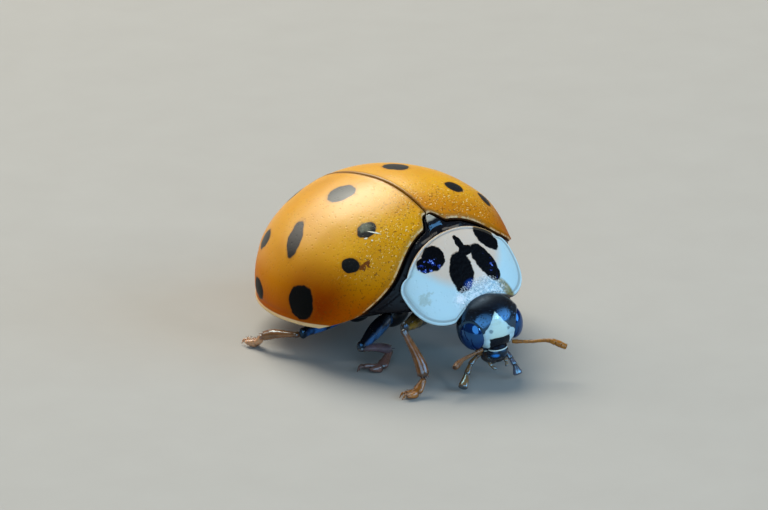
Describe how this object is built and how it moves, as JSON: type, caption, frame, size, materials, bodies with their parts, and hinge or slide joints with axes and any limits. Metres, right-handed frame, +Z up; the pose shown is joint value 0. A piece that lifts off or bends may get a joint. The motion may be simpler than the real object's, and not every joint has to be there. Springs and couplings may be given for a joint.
{
  "type": "harlequin ladybird",
  "caption": "Life-size ladybird standing on its feet: domed orange wing cases with black spots, white neck shield with black marks, black head with a pale face, short legs and feelers.",
  "frame": {"origin": "on the floor under the middle of the animal, legs and feelers included", "axes": "+Z up, -Y the way the animal faces, +X its left side"},
  "size_m": [0.0063, 0.0083, 0.004],
  "materials": {
    "wing_case": "smooth shell, yellow-orange with black spots and a pale rim",
    "neck_shield": "smooth shell, cream white with black marks",
    "black_shell": "finely pitted black shell",
    "belly": "plates, dark brown with orange-brown sides",
    "eye": "glossy, finely faceted",
    "amber": "translucent amber brown",
    "thigh": "black shell with short hairs",
    "shin": "dark amber with short pale hairs"
  },
  "bodies": {
    "root": {"elytron_left": "wing_case", "elytron_right": "wing_case", "pronotum": "neck_shield", "head": "black_shell", "labrum": "black_shell", "labium": "black_shell", "scutellum": "black_shell", "prothorax": "black_shell", "thorax": "black_shell", "abdomen": "belly", "eye_left": "eye", "eye_right": "eye", "antenna_left": "amber", "antenna_right": "amber", "palp_left": "amber", "palp_right": "amber", "mandible_left": "amber", "mandible_right": "amber", "coxa_front_right": "thigh", "femur_front_right": "thigh", "coxa_middle_right": "thigh", "femur_middle_right": "thigh", "coxa_hind_right": "thigh", "femur_hind_right": "thigh", "coxa_front_left": "thigh", "femur_front_left": "thigh", "coxa_middle_left": "thigh", "femur_middle_left": "thigh", "coxa_hind_left": "thigh", "femur_hind_left": "thigh", "tibia_front_right": "shin", "tarsus_front_right": "shin", "tibia_middle_right": "shin", "tarsus_middle_right": "shin", "tibia_hind_right": "shin", "tarsus_hind_right": "shin", "tibia_front_left": "shin", "tarsus_front_left": "shin", "tibia_middle_left": "shin", "tarsus_middle_left": "shin", "tibia_hind_left": "shin", "tarsus_hind_left": "shin"}
  },
  "joints": []
}
